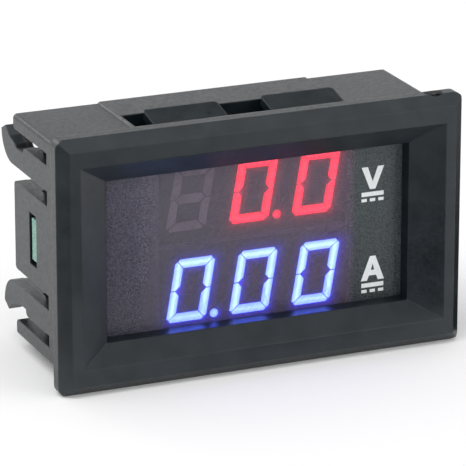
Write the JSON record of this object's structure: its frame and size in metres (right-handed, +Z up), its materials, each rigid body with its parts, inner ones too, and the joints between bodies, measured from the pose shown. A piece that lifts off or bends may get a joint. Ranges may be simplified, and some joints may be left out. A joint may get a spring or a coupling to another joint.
{
  "type": "digital panel meter",
  "caption": "Snap-in panel housing with a smoked window over stacked segment displays, and a measuring board with turning trimmers and rear wiring headers.",
  "frame": {"origin": "centre of the bezel's rear face, which lies on the panel", "axes": "+Y out of the bezel's rear face into the panel, +X to the right as the meter is read, +Z up"},
  "size_m": [0.048, 0.0219, 0.029],
  "materials": {
    "black_abs": "fine moulded satin",
    "smoked_acrylic": "polished, smoked",
    "display_shell": "matt",
    "red_segment": "lit resin",
    "blue_segment": "lit resin",
    "unlit_segment": "milky resin",
    "led_board": "laminate",
    "tinned_pin": "tinned",
    "board_laminate": "solder mask",
    "solder": "bright solder",
    "header_white": "moulded nylon",
    "header_black": "moulded nylon",
    "shunt_alloy": "drawn wire",
    "chip_black": "moulding compound",
    "tinned_lead": "tinned",
    "trimmer_body": "moulded",
    "trimmer_metal": "plated",
    "resistor_black": "glazed",
    "capacitor_ceramic": "fired ceramic"
  },
  "bodies": {
    "meter": {"housing": "black_abs", "smoked_window": "smoked_acrylic", "volts_display_shell": "display_shell", "volts_segments_lit": "red_segment", "volts_segments_dark": "unlit_segment", "volts_led_board": "led_board", "volts_display_pins": "tinned_pin", "amps_display_shell": "display_shell", "amps_segments_lit": "blue_segment", "amps_segments_dark": "unlit_segment", "amps_led_board": "led_board", "amps_display_pins": "tinned_pin", "circuit_board": "board_laminate", "solder_joints": "solder", "supply_header": "header_white", "supply_header_pins": "tinned_pin", "current_header": "header_black", "current_header_pins": "tinned_pin", "current_shunt": "shunt_alloy", "microcontroller": "chip_black", "microcontroller_leads": "tinned_lead", "op_amp": "chip_black", "op_amp_leads": "tinned_lead", "voltage_regulator": "chip_black", "voltage_regulator_leads": "tinned_lead", "volts_trimmer_base": "trimmer_body", "amps_trimmer_base": "trimmer_body", "trimmer_terminals": "tinned_lead", "input_diode": "chip_black", "input_diode_terminals": "tinned_lead", "chip_resistors": "resistor_black", "chip_resistor_ends": "tinned_lead", "chip_capacitors": "capacitor_ceramic", "chip_capacitor_ends": "tinned_lead"},
    "volts_rotor": {"volts_trimmer_rotor": "trimmer_metal"},
    "amps_rotor": {"amps_trimmer_rotor": "trimmer_metal"}
  },
  "joints": [
    {"name": "volts_trim", "type": "hinge", "parent": "meter", "child": "volts_rotor", "pos_m": [0.0122, 0.01185, -0.007], "axis": [0, 1, 0], "range_deg": [-120, 120]},
    {"name": "amps_trim", "type": "hinge", "parent": "meter", "child": "amps_rotor", "pos_m": [0.0176, 0.01185, -0.007], "axis": [0, 1, 0], "range_deg": [-120, 120]}
  ]
}
